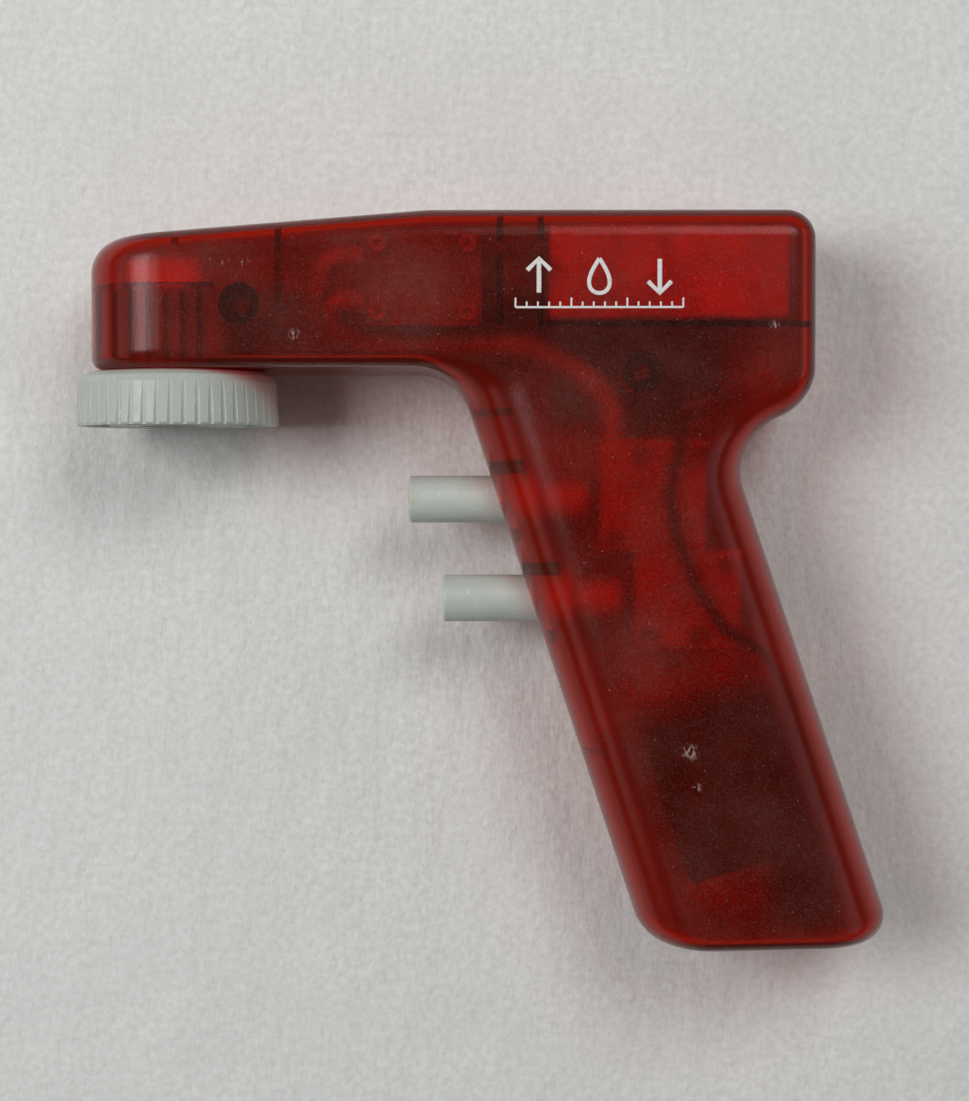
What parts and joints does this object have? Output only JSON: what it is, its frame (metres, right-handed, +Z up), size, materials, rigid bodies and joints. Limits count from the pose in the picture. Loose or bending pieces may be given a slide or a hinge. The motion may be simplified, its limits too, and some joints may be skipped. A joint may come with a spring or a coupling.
{
  "type": "motorized pipette controller",
  "caption": "Pistol-shaped motorized pipette controller: translucent red housing, fluted nosepiece ring and sprung aspirate and dispense buttons over a pump, valve block and battery.",
  "frame": {"origin": "under the middle of the tool's box, on the surface that its right side rests on", "axes": "+X along the arm to its rear end, +Y away from the grip's foot, +Z up through the left side; the pipette's axis runs along Y"},
  "size_m": [0.1504, 0.1348, 0.038],
  "materials": {
    "shell": "translucent, satin with light handling wear",
    "grey_plastic": "satin moulded",
    "screw_steel": "zinc plated",
    "bright_steel": "ground",
    "spring_steel": "drawn wire",
    "brass": "turned",
    "silicone": "matt silicone",
    "black_rubber": "matt",
    "white_plastic": "moulded",
    "valve_plastic": "machined plastic",
    "pump_plastic": "glass-filled moulding",
    "motor_steel": "zinc plated",
    "magnet": "sintered",
    "black_plastic": "moulded",
    "light_foam": "closed-cell foam",
    "hose": "smooth silicone hose",
    "board": "solder resist",
    "cell": "sleeved cell",
    "film": "shrink film",
    "black_foam": "open-cell foam",
    "wire": "insulated twin lead"
  },
  "bodies": {
    "housing": {"aspirate_gland": "black_rubber", "aspirate_spring": "spring_steel", "aspirate_switch": "black_plastic", "battery_cells": "cell", "battery_lead": "wire", "battery_wrap": "film", "board_connector": "white_plastic", "board_parts": "black_plastic", "charge_jack": "black_plastic", "charge_lead": "wire", "circuit_board": "board", "dispense_gland": "black_rubber", "dispense_spring": "spring_steel", "dispense_switch": "black_plastic", "housing_screws": "screw_steel", "jack_contact": "brass", "left_battery_pad": "black_foam", "left_shell": "shell", "motor_can": "motor_steel", "motor_cushion": "light_foam", "motor_end_cap": "black_plastic", "motor_lead": "wire", "motor_magnets": "magnet", "nose_collar": "white_plastic", "nose_tube": "hose", "pressure_tube": "hose", "pump_diaphragm": "black_rubber", "pump_frame": "pump_plastic", "pump_head": "pump_plastic", "pump_screws": "screw_steel", "pump_valve_plate": "pump_plastic", "right_battery_pad": "black_foam", "right_shell": "shell", "shaft_bush": "brass", "suction_tube": "hose", "tube_elbow": "white_plastic", "valve_block": "valve_plastic", "valve_cover": "valve_plastic", "valve_screws": "screw_steel"},
    "aspirate_push": {"aspirate_button": "grey_plastic", "aspirate_needle": "bright_steel"},
    "dispense_push": {"dispense_button": "grey_plastic", "dispense_needle": "bright_steel"},
    "aspirate_pin": {"aspirate_switch_pin": "black_plastic"},
    "dispense_pin": {"dispense_switch_pin": "black_plastic"},
    "nose_insert": {"pipette_holder": "silicone", "membrane_filter": "white_plastic", "filter_o_ring": "black_rubber"},
    "ring_nut": {"nosepiece_ring": "grey_plastic"},
    "rotor": {"motor_shaft": "bright_steel", "motor_armature": "motor_steel", "eccentric": "brass"},
    "rod": {"connecting_rod": "pump_plastic", "rod_bearing": "bright_steel"}
  },
  "joints": [
    {"name": "aspirate_press", "type": "slide", "parent": "housing", "child": "aspirate_push", "axis": [1, 0, 0], "range_m": [0, 0.007], "stiffness_N_per_m": 150, "springref_m": -0.005, "deforming": ["aspirate_spring"]},
    {"name": "dispense_press", "type": "slide", "parent": "housing", "child": "dispense_push", "axis": [1, 0, 0], "range_m": [0, 0.007], "stiffness_N_per_m": 150, "springref_m": -0.005, "deforming": ["dispense_spring"]},
    {"name": "aspirate_switch_press", "type": "slide", "parent": "housing", "child": "aspirate_pin", "axis": [0, 0, -1], "range_m": [0, 0.0007]},
    {"name": "dispense_switch_press", "type": "slide", "parent": "housing", "child": "dispense_pin", "axis": [0, 0, -1], "range_m": [0, 0.0007]},
    {"name": "nosepiece_draw", "type": "slide", "parent": "housing", "child": "nose_insert", "axis": [0, -1, 0], "range_m": [0, 0.006]},
    {"name": "nosepiece_turn", "type": "hinge", "parent": "nose_insert", "child": "ring_nut", "pos_m": [-0.05634, 0.03403, 0.019], "axis": [0, -1, 0], "range_deg": [0, 721]},
    {"name": "motor_spin", "type": "hinge", "parent": "housing", "child": "rotor", "pos_m": [0.00366, 0.05503, 0.019], "axis": [1, 0, 0], "continuous": true},
    {"name": "rod_swing", "type": "hinge", "parent": "rotor", "child": "rod", "pos_m": [-0.00884, 0.05503, 0.02], "axis": [1, 0, 0], "continuous": true}
  ],
  "couplings": [
    {"joint": "aspirate_switch_press", "follows": "aspirate_press", "ratio": 0.1},
    {"joint": "dispense_switch_press", "follows": "dispense_press", "ratio": 0.1},
    {"joint": "nosepiece_turn", "follows": "nosepiece_draw", "rad_per_m": 2094.4},
    {"joint": "rod_swing", "follows": "motor_spin", "ratio": -1}
  ]
}
